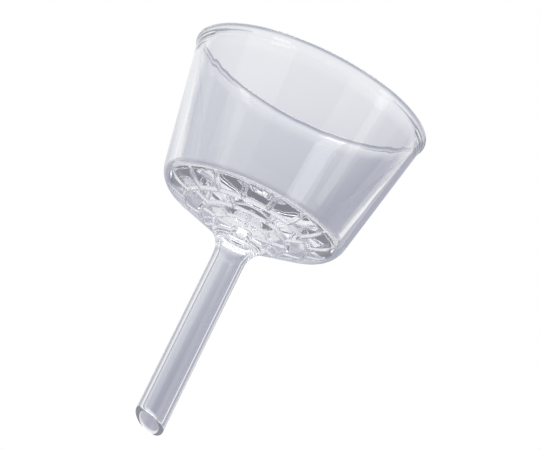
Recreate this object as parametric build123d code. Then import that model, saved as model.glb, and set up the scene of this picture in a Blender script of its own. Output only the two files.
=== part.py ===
"""Buchner funnel with a 60 mm filter plate, in heavy borosilicate glass.

Units are millimetres. +Z runs along the funnel's axis from the stem's tip to the
mouth. The origin is on the axis, at the level of the tip's lowest point.

Six glass parts are sealed end to end on a lathe: stem tube, neck cone, filter plate,
base shoulder, cup wall and rim bead. Each is a closed solid of its own, and
neighbours meet face to face at their seals.
"""

import os
from math import cos, radians, sqrt, tan

from build123d import *

# ---- driving dimensions ----------------------------------------------------

# Stem: 12 mm heavy-wall tubing with an oblique drip tip.
stem_diameter = 12.0
stem_bore = 8.0
stem_length = 68.2
tip_angle = 27.0
tip_direction = 52.0

# Neck: a hollow flare from the stem up to the underside of the cup.
neck_height = 7.3
neck_top_diameter = 23.8
neck_cavity_diameter = 13.0
neck_flare_slope = 1.37

# Filter plate: a thick, shallow dish that carries a 60 mm filter paper.
paper_diameter = 60.0
hub_thickness = 8.7
dish_angle = 9.5
under_angle = 20.0
drain_diameter = 6.0

# Grooves pressed in the plate's upper face, inside the paper's edge.
groove_width = 1.2
groove_depth = 0.9
ring_groove_radii = (8.9, 14.8, 22.0)
hub_channels = 4
inner_channels = 8
outer_channels = 8
edge_channels = 16
paper_margin = 1.5

# Cup: a leaning wall, thick at its foot, on a rounded shoulder.
cup_height = 62.5
rim_wall_width = 2.3
wall_foot_diameter = 72.4
wall_foot_height = 15.1
paper_clearance = 0.5
seam_height = 18.5
shoulder_radius = 9.9
inner_corner_radius = 3.0

# Rim: a fire-polished bead, flush inside and a little proud outside.
rim_diameter = 92.0
bead_radius = 1.5
bead_seat_depth = 0.5

# ---- levels, radii and slopes that follow ----------------------------------

stem_radius = stem_diameter / 2
bore_radius = stem_bore / 2
neck_radius = neck_top_diameter / 2
cavity_radius = neck_cavity_diameter / 2
drain_radius = drain_diameter / 2
paper_radius = paper_diameter / 2
bead_centre_radius = rim_diameter / 2 - bead_radius

neck_level = stem_length + neck_height
hub_level = neck_level + hub_thickness
seam_level = neck_level + seam_height
rim_level = neck_level + cup_height
bead_level = rim_level - bead_radius
bead_seal_level = bead_level - bead_seat_depth
bead_seat_radius = bead_centre_radius - sqrt(bead_radius**2 - bead_seat_depth**2)

dish_slope = tan(radians(dish_angle))
under_slope = tan(radians(under_angle))
wall_foot_radius = wall_foot_diameter / 2
wall_foot_level = neck_level + wall_foot_height
wall_top_radius = bead_seat_radius + rim_wall_width
wall_lean = (wall_top_radius - wall_foot_radius) / (bead_seal_level - wall_foot_level)


def wall_outer(level):
    """Outer radius of the tapered wall at a level."""
    return wall_foot_radius + (level - wall_foot_level) * wall_lean


def dish_level(radius):
    """Level of the filter plate's upper face at a radius."""
    return hub_level + (radius - drain_radius) * dish_slope


def under_corner():
    """Where the line of the outer wall meets the line of the conical underside."""
    reach = wall_outer(neck_level - neck_radius * under_slope)
    radius = reach / (1 - under_slope * wall_lean)
    return (radius, neck_level + (radius - neck_radius) * under_slope)


def turned(section):
    """A solid of revolution about the funnel's axis."""
    return revolve(Plane.XZ * section, Axis.Z, 360)


def band(inner_radius, outer_radius, low, high):
    """Rectangle in the section plane between two radii and two levels."""
    width = outer_radius - inner_radius
    height = high - low
    centre = Pos((inner_radius + outer_radius) / 2, (low + high) / 2)
    return centre * Rectangle(width, height)


def cup_section():
    """Section of plate, shoulder and wall in one outline, from drain to rim seal."""
    floor_radius = paper_radius + paper_clearance
    floor_corner = (floor_radius, dish_level(floor_radius))
    drain_top = (drain_radius, hub_level)
    drain_foot = (drain_radius, neck_level)
    neck_edge = (neck_radius, neck_level)
    inner_top = (bead_seat_radius, bead_seal_level)
    outer_top = (wall_top_radius, bead_seal_level)
    inside = FilletPolyline(drain_top, floor_corner, inner_top, radius=inner_corner_radius)
    outside = FilletPolyline(outer_top, under_corner(), neck_edge, radius=shoulder_radius)
    seal = Line(inner_top, outer_top)
    foot = Polyline(neck_edge, drain_foot, drain_top)
    return make_face([inside, seal, outside, foot])


# ---- parts -----------------------------------------------------------------


def stem_tube():
    """Tube with a bore right through and a tip cut off at a slant."""
    ring = Circle(stem_radius) - Circle(bore_radius)
    tube = extrude(ring, stem_length)
    reach = 4 * stem_diameter
    cut_level = stem_radius * tan(radians(tip_angle))
    tilt = Rot(0, 0, tip_direction) * Rot(0, tip_angle, 0)
    cutter = Pos(0, 0, cut_level) * tilt * Pos(0, 0, -reach / 2) * Box(reach, reach, reach)
    return tube - cutter


def neck_cone():
    """Hollow flare, concave outside, with a cavity that narrows to the bore."""
    outer = Spline(
        (stem_radius, stem_length),
        (neck_radius, neck_level),
        tangents=((0, 1), (neck_flare_slope, 1)),
    )
    top = Line((neck_radius, neck_level), (cavity_radius, neck_level))
    inner = Line((cavity_radius, neck_level), (bore_radius, stem_length))
    foot = Line((bore_radius, stem_length), (stem_radius, stem_length))
    return turned(make_face([outer, top, inner, foot]))


def ring_groove(radius):
    """Cutter for a circular groove of rectangular section."""
    low = dish_level(radius) - groove_depth
    high = low + 4 * groove_depth
    return turned(band(radius - groove_width / 2, radius + groove_width / 2, low, high))


def channel(start, end, bearing):
    """Cutter for a straight channel that runs outwards along the dish."""
    middle = (start + end) / 2
    length = (end - start) / cos(radians(dish_angle))
    cutter = Rot(0, -dish_angle, 0) * Box(length, groove_width, 2 * groove_depth)
    return Rot(0, 0, bearing) * Pos(middle, 0, dish_level(middle)) * cutter


def channel_row(start, end, count, offset):
    """Evenly spaced channels between two radii, turned by a share of their step."""
    step = 360 / count
    return [channel(start, end, (index + offset) * step) for index in range(count)]


def filter_plate():
    """Plate with ring grooves and staggered channels that lead to the drain."""
    plate = turned(cup_section() & band(0, paper_radius, 0, rim_level))
    first, second, third = ring_groove_radii
    rows = channel_row(drain_radius - groove_width, first, hub_channels, 0)
    rows += channel_row(first, second, inner_channels, 0)
    rows += channel_row(second, third, outer_channels, 0.5)
    rows += channel_row(third, paper_radius - paper_margin, edge_channels, 0.5)
    rings = [ring_groove(radius) for radius in ring_groove_radii]
    return plate - (rings + rows)


def base_shoulder():
    """Rounded ring from the plate's edge up to the foot of the wall."""
    return turned(cup_section() & band(paper_radius, rim_diameter, 0, seam_level))


def cup_wall():
    """Leaning wall that grows thicker towards its foot."""
    return turned(cup_section() & band(paper_radius, rim_diameter, seam_level, rim_level))


def rim_bead():
    """Rounded bead that closes the wall's edge, flat where it is sealed on."""
    round_section = Pos(bead_centre_radius, bead_level) * Circle(bead_radius)
    return turned(round_section & band(0, rim_diameter, bead_seal_level, rim_level))


# ---- export ----------------------------------------------------------------

PARTS = (stem_tube, neck_cone, filter_plate, base_shoulder, cup_wall, rim_bead)

os.makedirs("parts", exist_ok=True)
for make_part in PARTS:
    export_step(make_part(), f"parts/{make_part.__name__}.step")
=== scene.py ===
"""Buchner funnel in clear borosilicate glass, with its studio stage.

Lengths are metres unless a name says otherwise. The funnel's levels and outer radii
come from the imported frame. Its other sizes, the glass and the studio are set in the
property groups, and in the named values above the functions that use them.
"""

from math import asin, atan2, ceil, cos, hypot, pi, radians, sin, tan

import bmesh
import bpy
from bpy.props import FloatProperty, FloatVectorProperty, IntProperty, PointerProperty
from mathutils import Matrix, Vector


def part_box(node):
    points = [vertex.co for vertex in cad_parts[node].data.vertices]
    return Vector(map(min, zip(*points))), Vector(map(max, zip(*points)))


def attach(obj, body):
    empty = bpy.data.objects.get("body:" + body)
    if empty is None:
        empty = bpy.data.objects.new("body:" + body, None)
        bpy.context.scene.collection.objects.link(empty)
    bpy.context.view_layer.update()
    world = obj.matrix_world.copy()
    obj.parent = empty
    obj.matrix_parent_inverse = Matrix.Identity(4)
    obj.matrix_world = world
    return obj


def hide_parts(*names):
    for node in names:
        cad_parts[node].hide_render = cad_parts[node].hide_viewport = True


bl_info = {
    "name": "Buchner Funnel",
    "version": (1, 0, 0),
    "blender": (4, 5, 0),
    "location": "View3D > Sidebar > Funnel",
    "description": "Builds a glass Buchner funnel and a plain studio round it",
    "category": "Add Mesh",
}

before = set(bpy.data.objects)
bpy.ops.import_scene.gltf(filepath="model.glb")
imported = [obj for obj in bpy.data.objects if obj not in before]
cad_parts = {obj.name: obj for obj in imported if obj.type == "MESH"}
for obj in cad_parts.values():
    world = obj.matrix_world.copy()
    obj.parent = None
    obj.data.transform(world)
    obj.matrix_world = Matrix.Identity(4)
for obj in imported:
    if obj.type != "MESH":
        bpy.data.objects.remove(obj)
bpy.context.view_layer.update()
NODES = ("stem_tube", "neck_cone", "filter_plate", "base_shoulder", "cup_wall", "rim_bead")
MM = 0.001


def radius_of(node):
    """Outer radius of a turned node, from the narrower side of its box."""
    low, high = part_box(node)
    return min(high[0] - low[0], high[1] - low[1]) / 2


def top_of(node):
    """Highest level of a node."""
    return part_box(node)[1][2]


STEM_RADIUS = radius_of("stem_tube")
STEM_TOP = top_of("stem_tube")
NECK_RADIUS = radius_of("neck_cone")
NECK_TOP = top_of("neck_cone")
PLATE_RADIUS = radius_of("filter_plate")
SEAM_RADIUS = radius_of("base_shoulder")
SEAM_LEVEL = top_of("base_shoulder")
WALL_RADIUS = radius_of("cup_wall")
WALL_TOP = top_of("cup_wall")
RIM_RADIUS = radius_of("rim_bead")
RIM_TOP = top_of("rim_bead")


# ---- properties --------------------------------------------------------------


def length(name, description, default):
    """A length property in metres."""
    return FloatProperty(
        name=name, description=description, default=default, precision=5, unit="LENGTH", min=0.0
    )


def angle(name, description, degrees):
    """An angle property, given in degrees."""
    return FloatProperty(
        name=name, description=description, default=radians(degrees), unit="ROTATION"
    )


def colour(name, description, default):
    """A colour property."""
    return FloatVectorProperty(
        name=name, description=description, default=default, size=3, subtype="COLOR",
        min=0.0, max=1.0,
    )


class FunnelBody(bpy.types.PropertyGroup):
    """Sizes of the glass body that its outline is drawn from."""

    bead: length("Rim bead", "Radius of the fire-polished rim", 1.5 * MM)
    seat: length("Bead seat", "Depth of the bead's flat seat below its middle", 0.5 * MM)
    lip_round: length("Lip rounding", "Rounding under the rim's lip", 1.6 * MM)
    shoulder: length("Shoulder", "Outer rounding at the foot of the cup", 9.9 * MM)
    inner_corner: length("Inner corner", "Rounding between plate and wall", 3.0 * MM)
    under_angle: angle("Underside", "Slope of the cup's underside", 20.0)
    bore: length("Bore", "Radius of the stem's bore", 4.0 * MM)
    cavity: length("Neck cavity", "Radius of the hollow under the plate", 6.5 * MM)
    flare: length("Flare", "Radius of the concave flare above the stem", 9.0 * MM)
    tip_angle: angle("Tip angle", "Slant of the drip tip", 27.0)
    tip_bearing: angle("Tip bearing", "Way that the tip's long side faces", 52.0)
    tip_fade: length("Tip length", "Length of stem over which the slant fades", 22.0 * MM)
    steps: IntProperty(name="Steps", description="Divisions round the axis", default=450)


class FunnelPlate(bpy.types.PropertyGroup):
    """Sizes of the filter plate and its pressed grooves."""

    hub: length("Hub thickness", "Glass between neck and drain edge", 8.7 * MM)
    dish_angle: angle("Dish", "Slope of the plate's upper face", 9.5)
    drain: length("Drain", "Radius of the drain hole", 3.0 * MM)
    clearance: length("Clearance", "Gap between the plate's edge and the wall", 0.5 * MM)
    groove_width: length("Groove width", "Width of a pressed groove", 1.2 * MM)
    groove_depth: length("Groove depth", "Depth of a pressed groove", 0.9 * MM)
    groove_edge: length("Groove edge", "Softness of a groove's edge", 0.3 * MM)
    margin: length("Margin", "Plain border inside the plate's edge", 1.5 * MM)
    spacing: length("Spacing", "Distance between points across the plate", 0.4 * MM)


class FunnelGlass(bpy.types.PropertyGroup):
    """Colour, surface and painted inner glow of the glass."""

    tint: colour("Tint", "Colour that the glass gives to light", (0.905, 0.912, 0.932))
    # The colour below is a painted glow: grey that the glass emits where light has been
    # reflected many times, standing in for light that would else be lost.
    painted_inner_glow_colour: colour("Depth", "Grey added to deep reflections", (0.11, 0.112, 0.13))
    ripple: FloatProperty(
        name="Ripple", description="Strength of the drawn ripples", default=0.12, min=0.0
    )
    haze: FloatProperty(
        name="Haze", description="Largest roughness where the glass is handled", default=0.03
    )


class FunnelStudio(bpy.types.PropertyGroup):
    """Stage, lamps and camera."""

    floor_drop: length("Floor drop", "Distance from the tip down to the floor", 0.30)
    floor_colour: colour("Floor", "Colour of the floor", (0.86, 0.86, 0.87))
    # The colour below glows from grey cards seen only in the glass: painted shade at the glass's
    # edges.
    painted_shade_card_colour: colour("Flags", "Colour of the cards round the glass", (0.43, 0.435, 0.51))
    # The two colours below glow from a screen seen only in the glass: painted shade at its foot,
    # painted light at its top.
    screen_painted_shade: colour("Screen foot", "Colour at the foot of the screen", (0.45, 0.457, 0.53))
    screen_painted_light: colour("Screen top", "Colour at the top of the screen", (0.92, 0.925, 0.945))
    distance: length("Distance", "Camera distance from the plate", 0.6464)
    rise: angle("Rise", "Angle at which the camera looks up", 14.97)
    roll: angle("Roll", "Turn of the camera about its own line of sight", 26.02)
    lens: FloatProperty(name="Lens", description="Focal length in millimetres", default=120.33)


# ---- outline -----------------------------------------------------------------

# Distances between points along straight stretches, and the turn between points of an arc.
STEM_SPACING = 1.5 * MM
WALL_SPACING = 6.0 * MM
ARC_STEP = radians(10)

# Level on the stem where the long plain stretch has its one extra ring of points.
STEM_MIDDLE = 0.6 * STEM_TOP

# Roundings inside the funnel, from the drain's upper edge down to the bore.
DRAIN_EDGE_ROUND = 1.0 * MM
DRAIN_FOOT_ROUND = 0.9 * MM
CAVITY_ROUND = 1.4 * MM
BORE_ROUND = 6.0 * MM

# Rounding of the tip's edges, as a share of the stem's wall.
TIP_ROUND_SHARE = 0.42

# Bearing, seen from the bead's middle, at which the lip's rounding runs into the bead.
LIP_BEARING = -radians(40)


def run(start, end, spacing):
    """Evenly spaced points from start up to, but without, end."""
    count = max(1, ceil(hypot(end[0] - start[0], end[1] - start[1]) / spacing))
    gap = [(end[0] - start[0]) / count, (end[1] - start[1]) / count]
    return [(start[0] + gap[0] * i, start[1] + gap[1] * i) for i in range(count)]


def arc(centre, radius, start, end):
    """Points of an arc between two bearings, both ends included."""
    count = max(2, ceil(abs(end - start) / ARC_STEP))
    bearings = [start + (end - start) * i / count for i in range(count + 1)]
    return [(centre[0] + radius * cos(b), centre[1] + radius * sin(b)) for b in bearings]


def rounded(before, corner, after, radius):
    """Arc that rounds a corner between two straight runs."""
    back = Vector(before) - Vector(corner)
    ahead = Vector(after) - Vector(corner)
    half = back.angle(ahead) / 2
    middle = (back.normalized() + ahead.normalized()).normalized()
    centre = Vector(corner) + middle * radius / sin(half)
    touch = [Vector(corner) + side.normalized() * radius / tan(half) for side in (back, ahead)]
    start, end = [atan2(p[1] - centre[1], p[0] - centre[0]) for p in touch]
    if end - start > pi:
        end -= 2 * pi
    if start - end > pi:
        end += 2 * pi
    return arc(centre, radius, start, end)


def meet(wall_foot, wall_lean, floor_start, slope):
    """Where the leaning wall line meets a sloping floor line."""
    reach = wall_foot[0] + (floor_start[1] - floor_start[0] * slope - wall_foot[1]) * wall_lean
    radius = reach / (1 - slope * wall_lean)
    return radius, floor_start[1] + (radius - floor_start[0]) * slope


def tip_rounding(body):
    """Rounding of the tip's inner and outer edge."""
    return (STEM_RADIUS - body.bore) * TIP_ROUND_SHARE


def plate_face(plate, radius):
    """Level of the plate's upper face at a radius, before it is pressed."""
    return NECK_TOP + plate.hub + (radius - plate.drain) * tan(plate.dish_angle)


def outside(body, lip_edge):
    """Points up the outside: tip, stem, flare, underside, shoulder, wall and lip."""
    under_slope = tan(body.under_angle)
    wall_lean = (WALL_RADIUS - SEAM_RADIUS) / (WALL_TOP - SEAM_LEVEL)
    tip_in = (body.bore, 0.0)
    tip_out = (STEM_RADIUS, 0.0)
    flare_corner = (STEM_RADIUS, NECK_TOP - (NECK_RADIUS - STEM_RADIUS) * under_slope)
    seam = (SEAM_RADIUS, SEAM_LEVEL)
    under_corner = meet(seam, wall_lean, (NECK_RADIUS, NECK_TOP), under_slope)
    lip_foot = (WALL_RADIUS - wall_lean * body.bead, WALL_TOP - body.bead)
    lip_arc = rounded(seam, lip_foot, lip_edge, body.lip_round)
    points = rounded(tip_in, tip_out, flare_corner, tip_rounding(body))
    points += run(points.pop(), (STEM_RADIUS, body.tip_fade), STEM_SPACING)
    points += [(STEM_RADIUS, body.tip_fade), (STEM_RADIUS, STEM_MIDDLE)]
    points += rounded(tip_out, flare_corner, under_corner, body.flare)
    points += rounded(flare_corner, under_corner, seam, body.shoulder)
    points += run(points.pop(), lip_arc[0], WALL_SPACING)
    return points + lip_arc


def inside(body, plate, wall_top):
    """Points down the inside: wall, dished plate, drain, neck cavity, bore and tip."""
    floor_radius = PLATE_RADIUS + plate.clearance
    floor_corner = (floor_radius, plate_face(plate, floor_radius))
    drain_top = (plate.drain, plate_face(plate, plate.drain))
    drain_foot = (plate.drain, NECK_TOP)
    cavity_top = (body.cavity, NECK_TOP)
    bore_top = (body.bore, STEM_TOP)
    tip_in = (body.bore, 0.0)
    tip_out = (STEM_RADIUS, 0.0)
    tip_round = tip_rounding(body)
    corner_arc = rounded(wall_top, floor_corner, drain_top, body.inner_corner)
    drain_arc = rounded(floor_corner, drain_top, drain_foot, DRAIN_EDGE_ROUND)
    points = run(wall_top, corner_arc[0], WALL_SPACING) + corner_arc
    points += run(points.pop(), drain_arc[0], plate.spacing)
    points += drain_arc
    points += rounded(drain_top, drain_foot, cavity_top, DRAIN_FOOT_ROUND)
    points += rounded(drain_foot, cavity_top, bore_top, CAVITY_ROUND)
    points += rounded(cavity_top, bore_top, tip_in, BORE_ROUND)
    points += [(body.bore, STEM_MIDDLE)]
    points += run((body.bore, body.tip_fade), (body.bore, tip_round), STEM_SPACING)
    return points + rounded(bore_top, tip_in, tip_out, tip_round)


def outline(body, plate):
    """Closed section of the whole funnel: up the outside, round the rim, down the inside."""
    bead_centre = (RIM_RADIUS - body.bead, RIM_TOP - body.bead)
    seat_bearing = pi + asin(body.seat / body.bead)
    bead_arc = arc(bead_centre, body.bead, LIP_BEARING, seat_bearing)
    return outside(body, bead_arc[0]) + bead_arc[:-1] + inside(body, plate, bead_arc[-1])


# ---- glass body ----------------------------------------------------------------

# Ring grooves, and the rows of channels inside, between and outside them: how many, and
# their turn as a share of the step from one to the next.
RING_GROOVES = (8.9 * MM, 14.8 * MM, 22.0 * MM)
CHANNEL_ROWS = ((4, 0.0), (8, 0.0), (8, 0.5), (16, 0.5))

# Points further than this from the plate's face, or nearer to the drain, aren't pressed.
PRESS_REACH = 1.3 * MM
DRAIN_MARGIN = 0.3 * MM

# Points closer together than this are merged.
MERGE_DISTANCE = 1e-7


def smoothstep(low, high, value):
    """0 below low, 1 above high, and an even blend between them."""
    share = min(1.0, max(0.0, (value - low) / (high - low)))
    return share * share * (3 - 2 * share)


def groove(offset, plate):
    """Share of the full groove depth at a distance from the groove's middle."""
    half = plate.groove_width / 2
    return 1 - smoothstep(half - plate.groove_edge, half + plate.groove_edge, abs(offset))


def channel_offset(x, y, count, turn):
    """Distance from a point to the nearest of evenly spaced radial lines."""
    step = 2 * pi / count
    bearing = atan2(y, x) - turn * step
    swing = bearing - round(bearing / step) * step
    return hypot(x, y) * sin(swing)


def press_depth(x, y, plate):
    """Depth pressed into the plate's upper face at a point, as a share of full depth."""
    radius = hypot(x, y)
    soft = plate.groove_edge
    row_ends = (*RING_GROOVES, PLATE_RADIUS - plate.margin)
    row_starts = (0.0, *RING_GROOVES)
    depth = max(groove(radius - ring, plate) for ring in RING_GROOVES)
    for start, end, (count, turn) in zip(row_starts, row_ends, CHANNEL_ROWS):
        if start <= radius <= end + soft:
            fade = 1 - smoothstep(end - soft, end + soft, radius)
            depth = max(depth, fade * groove(channel_offset(x, y, count, turn), plate))
    return depth


def press_plate(mesh, plate):
    """Presses the ring grooves and the staggered channels into the plate."""
    for vertex in mesh.verts:
        x, y, level = vertex.co
        radius = hypot(x, y)
        in_plate = plate.drain + DRAIN_MARGIN < radius < PLATE_RADIUS
        if in_plate and abs(level - plate_face(plate, radius)) < PRESS_REACH:
            vertex.co.z -= plate.groove_depth * press_depth(x, y, plate)


def slant_tip(mesh, body):
    """Slants the lower end of the stem, so that the tip drips from its long side."""
    rise = tan(body.tip_angle)
    lift = STEM_RADIUS * rise
    for vertex in mesh.verts:
        x, y, level = vertex.co
        if level < body.tip_fade:
            share = 1 - level / body.tip_fade
            toward = x * cos(body.tip_bearing) + y * sin(body.tip_bearing)
            vertex.co.z += share * (lift - toward * rise)


def glass_mesh(body, plate):
    """Turned, pressed and slanted mesh of the whole funnel."""
    mesh = bmesh.new()
    ring = [mesh.verts.new((r, 0.0, z)) for r, z in outline(body, plate)]
    edges = [mesh.edges.new((a, b)) for a, b in zip(ring, ring[1:] + ring[:1])]
    bmesh.ops.spin(
        mesh, geom=ring + edges, cent=(0, 0, 0), axis=(0, 0, 1), angle=2 * pi,
        steps=body.steps, use_merge=True,
    )
    bmesh.ops.remove_doubles(mesh, verts=mesh.verts[:], dist=MERGE_DISTANCE)
    press_plate(mesh, plate)
    slant_tip(mesh, body)
    bmesh.ops.recalc_face_normals(mesh, faces=mesh.faces[:])
    for face in mesh.faces:
        face.smooth = True
    return mesh


# ---- materials -----------------------------------------------------------------

# Glass: how strongly it bends light, and the grain of its ripples and of its haze.
GLASS_IOR = 1.473
RIPPLE_STRETCH = (1.0, 1.0, 0.22)
RIPPLE_SCALE = 95.0
RIPPLE_DETAIL = 1.5
RIPPLE_HEIGHT = 1.0 * MM
HAZE_SCALE = 60.0
HAZE_DETAIL = 4.0
HAZE_START = 0.55
HAZE_FULL = 0.85

# Reflections past which light counts as deep inside the glass, where the glass paints its grey
# glow: from the fourth on.
DEEP_REFLECTIONS = 3.5

# Floor: its sheen and its fine grain.
FLOOR_ROUGHNESS = 0.7
FLOOR_GRAIN_SCALE = 400.0
FLOOR_GRAIN_STRENGTH = 0.05
FLOOR_GRAIN_HEIGHT = 0.2 * MM

# Screen: the way along which its painted glow grows lighter, from painted shade at the foot to
# painted light at the top, and where that starts and ends.
SCREEN_SLOPE = (-0.5, 0.0, 1.0)
SCREEN_PAINTED_SHADE_END = 0.12
SCREEN_PAINTED_LIGHT_START = 0.52


def ripple_group():
    """Node group for drawn glass: slow ripples along the axis, and patches of haze."""
    group = bpy.data.node_groups.new("drawn_ripples", "ShaderNodeTree")
    socket = group.interface.new_socket
    socket("Scale", in_out="INPUT", socket_type="NodeSocketFloat")
    socket("Haze", in_out="INPUT", socket_type="NodeSocketFloat")
    socket("Height", in_out="OUTPUT", socket_type="NodeSocketFloat")
    socket("Roughness", in_out="OUTPUT", socket_type="NodeSocketFloat")
    nodes, link = group.nodes, group.links.new
    entry, leave = nodes.new("NodeGroupInput"), nodes.new("NodeGroupOutput")
    place = nodes.new("ShaderNodeTexCoord")
    stretch = nodes.new("ShaderNodeMapping")
    stretch.inputs["Scale"].default_value = RIPPLE_STRETCH
    slow = nodes.new("ShaderNodeTexNoise")
    slow.inputs["Detail"].default_value = RIPPLE_DETAIL
    smear = nodes.new("ShaderNodeTexNoise")
    smear.inputs["Scale"].default_value = HAZE_SCALE
    smear.inputs["Detail"].default_value = HAZE_DETAIL
    spread = nodes.new("ShaderNodeMapRange")
    spread.inputs["From Min"].default_value = HAZE_START
    spread.inputs["From Max"].default_value = HAZE_FULL
    link(place.outputs["Object"], stretch.inputs["Vector"])
    link(stretch.outputs["Vector"], slow.inputs["Vector"])
    link(entry.outputs["Scale"], slow.inputs["Scale"])
    link(place.outputs["Object"], smear.inputs["Vector"])
    link(smear.outputs["Fac"], spread.inputs["Value"])
    link(entry.outputs["Haze"], spread.inputs["To Max"])
    link(slow.outputs["Fac"], leave.inputs["Height"])
    link(spread.outputs["Result"], leave.inputs["Roughness"])
    return group


def glass_material(glass):
    """Clear borosilicate glass with drawn ripples, faint haze and a painted grey glow where
    light has been reflected many times.
    """
    material = bpy.data.materials.new("clear_borosilicate")
    material.use_nodes = True
    nodes, link = material.node_tree.nodes, material.node_tree.links.new
    shader = nodes["Principled BSDF"]
    shader.inputs["Base Color"].default_value = (*glass.tint, 1.0)
    shader.inputs["IOR"].default_value = GLASS_IOR
    shader.inputs["Transmission Weight"].default_value = 1.0
    ripples = nodes.new("ShaderNodeGroup")
    ripples.node_tree = ripple_group()
    ripples.inputs["Scale"].default_value = RIPPLE_SCALE
    ripples.inputs["Haze"].default_value = glass.haze
    bump = nodes.new("ShaderNodeBump")
    bump.inputs["Strength"].default_value = glass.ripple
    bump.inputs["Distance"].default_value = RIPPLE_HEIGHT
    link(ripples.outputs["Height"], bump.inputs["Height"])
    link(bump.outputs["Normal"], shader.inputs["Normal"])
    link(ripples.outputs["Roughness"], shader.inputs["Roughness"])
    add_painted_inner_glow(material, shader, glass)
    return material


def add_painted_inner_glow(material, shader, glass):
    """Paints a grey glow into the glass where light has been reflected many times, which would
    else come out black; the glass emits it though it is no lamp.
    """
    nodes, link = material.node_tree.nodes, material.node_tree.links.new
    rays = nodes.new("ShaderNodeLightPath")
    deep = nodes.new("ShaderNodeMath")
    deep.operation = "GREATER_THAN"
    deep.inputs[1].default_value = DEEP_REFLECTIONS
    blend = nodes.new("ShaderNodeMix")
    blend.data_type = "RGBA"
    blend.inputs["A"].default_value = (0.0, 0.0, 0.0, 1.0)
    blend.inputs["B"].default_value = (*glass.painted_inner_glow_colour, 1.0)
    link(rays.outputs["Glossy Depth"], deep.inputs[0])
    link(deep.outputs["Value"], blend.inputs["Factor"])
    link(blend.outputs["Result"], shader.inputs["Emission Color"])
    shader.inputs["Emission Strength"].default_value = 1.0
    material.cycles.emission_sampling = "NONE"


def floor_material(studio):
    """Matt pale floor with a fine grain."""
    material = bpy.data.materials.new("pale_floor")
    material.use_nodes = True
    nodes, link = material.node_tree.nodes, material.node_tree.links.new
    shader = nodes["Principled BSDF"]
    shader.inputs["Base Color"].default_value = (*studio.floor_colour, 1.0)
    shader.inputs["Roughness"].default_value = FLOOR_ROUGHNESS
    grain = nodes.new("ShaderNodeTexNoise")
    grain.inputs["Scale"].default_value = FLOOR_GRAIN_SCALE
    bump = nodes.new("ShaderNodeBump")
    bump.inputs["Strength"].default_value = FLOOR_GRAIN_STRENGTH
    bump.inputs["Distance"].default_value = FLOOR_GRAIN_HEIGHT
    link(grain.outputs["Fac"], bump.inputs["Height"])
    link(bump.outputs["Normal"], shader.inputs["Normal"])
    return material


def glow_material(name):
    """Material of an evenly lit card, with its Emission node."""
    material = bpy.data.materials.new(name)
    material.use_nodes = True
    nodes = material.node_tree.nodes
    nodes.remove(nodes["Principled BSDF"])
    glow = nodes.new("ShaderNodeEmission")
    material.node_tree.links.new(
        glow.outputs["Emission"], nodes["Material Output"].inputs["Surface"]
    )
    return material, glow


def painted_shade_card_material(studio):
    """Evenly glowing grey card, seen only in the glass, that paints shade at the glass's edges.
    """
    material, glow = glow_material("painted_shade_card")
    glow.inputs["Color"].default_value = (*studio.painted_shade_card_colour, 1.0)
    return material


def painted_shade_screen_material(studio):
    """Glowing screen, seen only in the glass, painted darker at its foot and to the right, to
    put shade into the lower and right side of the glass.
    """
    material, glow = glow_material("painted_shade_screen")
    nodes, link = material.node_tree.nodes, material.node_tree.links.new
    place = nodes.new("ShaderNodeTexCoord")
    slope = nodes.new("ShaderNodeVectorMath")
    slope.operation = "DOT_PRODUCT"
    slope.inputs[1].default_value = SCREEN_SLOPE
    share = nodes.new("ShaderNodeMapRange")
    share.interpolation_type = "SMOOTHSTEP"
    share.inputs["From Min"].default_value = SCREEN_PAINTED_SHADE_END
    share.inputs["From Max"].default_value = SCREEN_PAINTED_LIGHT_START
    blend = nodes.new("ShaderNodeMix")
    blend.data_type = "RGBA"
    blend.inputs["A"].default_value = (*studio.screen_painted_shade, 1.0)
    blend.inputs["B"].default_value = (*studio.screen_painted_light, 1.0)
    link(place.outputs["Object"], slope.inputs[0])
    link(slope.outputs["Value"], share.inputs["Value"])
    link(share.outputs["Result"], blend.inputs["Factor"])
    link(blend.outputs["Result"], glow.inputs["Color"])
    return material


# ---- stage ---------------------------------------------------------------------

# Lamps: name, place, width, height and watts.
SOFTBOXES = (
    ("key_softbox", (-0.9, -0.9, 0.9), 0.5, 0.9, 3.0),
    ("fill_softbox", (1.0, -0.5, 0.4), 0.22, 0.9, 0.7),
    ("top_softbox", (0.0, 0.3, 1.3), 1.0, 1.0, 6.0),
)

# Glowing cards that paint shade and light into the glass, seen only there: name, place, width
# and height. The screen stands behind the glass; the others paint shade at the glass's edges.
SCREEN = ("screen", (0.0, 0.9, 0.33), 1.5, 1.3)
PAINTED_SHADE_CARDS = (
    ("left_painted_shade_card", (-0.85, 0.15, 0.1), 0.8, 1.4),
    ("right_painted_shade_card", (0.85, 0.15, 0.1), 0.8, 1.4),
    ("rear_painted_shade_card", (0.0, -1.2, 0.1), 1.2, 0.8),
)

# Points on the axis that the lamps and the cards face.
LAMP_AIM = (0.0, 0.0, 0.5 * RIM_TOP)
CARD_AIM = (0.0, 0.0, 0.6 * RIM_TOP)

# Half of the floor's width.
FLOOR_REACH = 6.0

# Strength of the world as a light, and as what is seen directly or in the glass.
WORLD_LIGHT = 0.75
WORLD_WHITE = 1.0

# Camera: the point it looks at, and its offsets to the right and downwards.
CAMERA_AIM = (0.0, 0.0, 0.08822)
CAMERA_RIGHT = 0.00591
CAMERA_DOWN = 0.00581
SENSOR_WIDTH = 36.0


def add_object(name, mesh, material):
    """Object at the origin that holds a finished mesh."""
    data = bpy.data.meshes.new(name)
    mesh.to_mesh(data)
    mesh.free()
    data.materials.append(material)
    thing = bpy.data.objects.new(name, data)
    bpy.context.scene.collection.objects.link(thing)
    return thing


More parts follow.
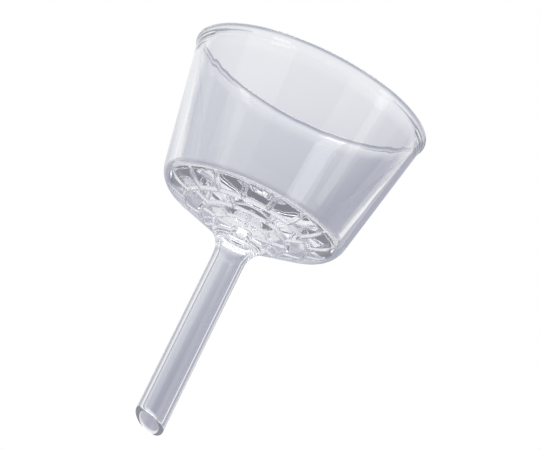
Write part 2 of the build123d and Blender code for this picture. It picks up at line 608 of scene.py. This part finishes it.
def card(name, centre, width, height, material):
    """Glowing rectangle that faces the funnel, seen in the glass but not by the camera, which
    paints its glow into the glass as light and shade.
    """
    mesh = bmesh.new()
    bmesh.ops.create_grid(mesh, x_segments=1, y_segments=1, size=0.5)
    bmesh.ops.scale(mesh, vec=(width, height, 1), verts=mesh.verts[:])
    turn = (Vector(CARD_AIM) - Vector(centre)).to_track_quat("Z", "Y").to_matrix().to_4x4()
    bmesh.ops.transform(mesh, matrix=Matrix.Translation(centre) @ turn, verts=mesh.verts[:])
    thing = add_object(name, mesh, material)
    thing.visible_camera = False
    thing.visible_diffuse = False
    thing.visible_shadow = False


def softbox(name, centre, width, height, watts):
    """Rectangular soft lamp that faces the funnel."""
    data = bpy.data.lights.new(name, "AREA")
    data.shape = "RECTANGLE"
    data.size = width
    data.size_y = height
    data.energy = watts
    lamp = bpy.data.objects.new(name, data)
    lamp.location = centre
    lamp.rotation_euler = (Vector(centre) - Vector(LAMP_AIM)).to_track_quat("Z", "Y").to_euler()
    bpy.context.scene.collection.objects.link(lamp)


# ---- operators -----------------------------------------------------------------


class FUNNEL_OT_glass_body(bpy.types.Operator):
    """Builds the glass body: stem, neck, grooved plate, shoulder, wall and rim in one skin"""

    bl_idname = "funnel.glass_body"
    bl_label = "Glass Body"

    def execute(self, context):
        scene = context.scene
        mesh = glass_mesh(scene.funnel_body, scene.funnel_plate)
        if any(not edge.is_manifold for edge in mesh.edges):
            raise RuntimeError("the glass body isn't closed")
        body = add_object("funnel_glass", mesh, glass_material(scene.funnel_glass))
        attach(body, "root")
        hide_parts(*NODES)
        return {"FINISHED"}


class FUNNEL_OT_stage(bpy.types.Operator):
    """Builds the floor, the white surround, the lamps, and the glowing cards round the glass
    that paint shade and light into it
    """

    bl_idname = "funnel.stage"
    bl_label = "Stage"

    def execute(self, context):
        studio = context.scene.funnel_studio
        self.build_floor(studio)
        self.build_surround(context.scene)
        self.build_cards(studio)
        for lamp in SOFTBOXES:
            softbox(*lamp)
        return {"FINISHED"}

    def build_floor(self, studio):
        """Wide pale floor below the tip."""
        mesh = bmesh.new()
        bmesh.ops.create_grid(mesh, x_segments=1, y_segments=1, size=FLOOR_REACH)
        drop = (0, 0, -studio.floor_drop)
        bmesh.ops.translate(mesh, vec=drop, verts=mesh.verts[:])
        add_object("floor", mesh, floor_material(studio))

    def build_surround(self, scene):
        """World that is white to the eye and in the glass, and dimmer as a light."""
        world = bpy.data.worlds.new("surround")
        world.use_nodes = True
        scene.world = world
        nodes, link = world.node_tree.nodes, world.node_tree.links.new
        rays = nodes.new("ShaderNodeLightPath")
        seen = nodes.new("ShaderNodeMath")
        seen.operation = "MAXIMUM"
        seen_all = nodes.new("ShaderNodeMath")
        seen_all.operation = "MAXIMUM"
        level = nodes.new("ShaderNodeMapRange")
        level.inputs["To Min"].default_value = WORLD_LIGHT
        level.inputs["To Max"].default_value = WORLD_WHITE
        link(rays.outputs["Is Camera Ray"], seen.inputs[0])
        link(rays.outputs["Is Glossy Ray"], seen.inputs[1])
        link(seen.outputs[0], seen_all.inputs[0])
        link(rays.outputs["Is Transmission Ray"], seen_all.inputs[1])
        link(seen_all.outputs[0], level.inputs["Value"])
        background = nodes["Background"]
        background.inputs["Color"].default_value = (1.0, 1.0, 1.0, 1.0)
        link(level.outputs["Result"], background.inputs["Strength"])

    def build_cards(self, studio):
        """Glowing screen behind the glass, graded to paint shade low down and to the right, and
        glowing grey cards that paint shade at the glass's edges.
        """
        shade = painted_shade_card_material(studio)
        card(*SCREEN, painted_shade_screen_material(studio))
        for shade_card in PAINTED_SHADE_CARDS:
            card(*shade_card, shade)


class FUNNEL_OT_camera(bpy.types.Operator):
    """Sets the camera below the cup, looking up past the stem"""

    bl_idname = "funnel.camera"
    bl_label = "Camera"

    def execute(self, context):
        studio = context.scene.funnel_studio
        ahead = Vector((0.0, cos(studio.rise), sin(studio.rise)))
        level = Vector((1.0, 0.0, 0.0))
        above = Vector((0.0, -sin(studio.rise), cos(studio.rise)))
        right = level * cos(studio.roll) + above * sin(studio.roll)
        up = above * cos(studio.roll) - level * sin(studio.roll)
        offset = right * CAMERA_RIGHT - up * CAMERA_DOWN
        place = Vector(CAMERA_AIM) + offset - ahead * studio.distance
        data = bpy.data.cameras.new("camera")
        data.lens = studio.lens
        data.sensor_width = SENSOR_WIDTH
        camera = bpy.data.objects.new("camera", data)
        basis = Matrix((right, up, -ahead)).transposed().to_4x4()
        camera.matrix_world = Matrix.Translation(place) @ basis
        context.scene.collection.objects.link(camera)
        context.scene.camera = camera
        return {"FINISHED"}


class FUNNEL_PT_builder(bpy.types.Panel):
    """Sizes, colours and build buttons of the funnel"""

    bl_idname = "FUNNEL_PT_builder"
    bl_label = "Buchner Funnel"
    bl_space_type = "VIEW_3D"
    bl_region_type = "UI"
    bl_category = "Funnel"

    def draw(self, context):
        for operator in OPERATORS:
            self.layout.operator(operator.bl_idname)
        for group in GROUPS:
            settings = getattr(context.scene, group)
            box = self.layout.box()
            for name in settings.bl_rna.properties.keys():
                if name not in ("rna_type", "name"):
                    box.prop(settings, name)


GROUPS = {
    "funnel_body": FunnelBody,
    "funnel_plate": FunnelPlate,
    "funnel_glass": FunnelGlass,
    "funnel_studio": FunnelStudio,
}
OPERATORS = (FUNNEL_OT_glass_body, FUNNEL_OT_stage, FUNNEL_OT_camera)


def register():
    """Registers the property groups, operators and panel."""
    for name, group in GROUPS.items():
        bpy.utils.register_class(group)
        setattr(bpy.types.Scene, name, PointerProperty(type=group))
    for operator in OPERATORS:
        bpy.utils.register_class(operator)
    bpy.utils.register_class(FUNNEL_PT_builder)


def unregister():
    """Takes away what register added."""
    bpy.utils.unregister_class(FUNNEL_PT_builder)
    for operator in reversed(OPERATORS):
        bpy.utils.unregister_class(operator)
    for name, group in GROUPS.items():
        delattr(bpy.types.Scene, name)
        bpy.utils.unregister_class(group)


def main():
    """Builds everything in order."""
    register()
    bpy.context.scene.view_settings.view_transform = "Standard"
    bpy.ops.funnel.glass_body()
    bpy.ops.funnel.stage()
    bpy.ops.funnel.camera()


if __name__ == "__main__":
    main()
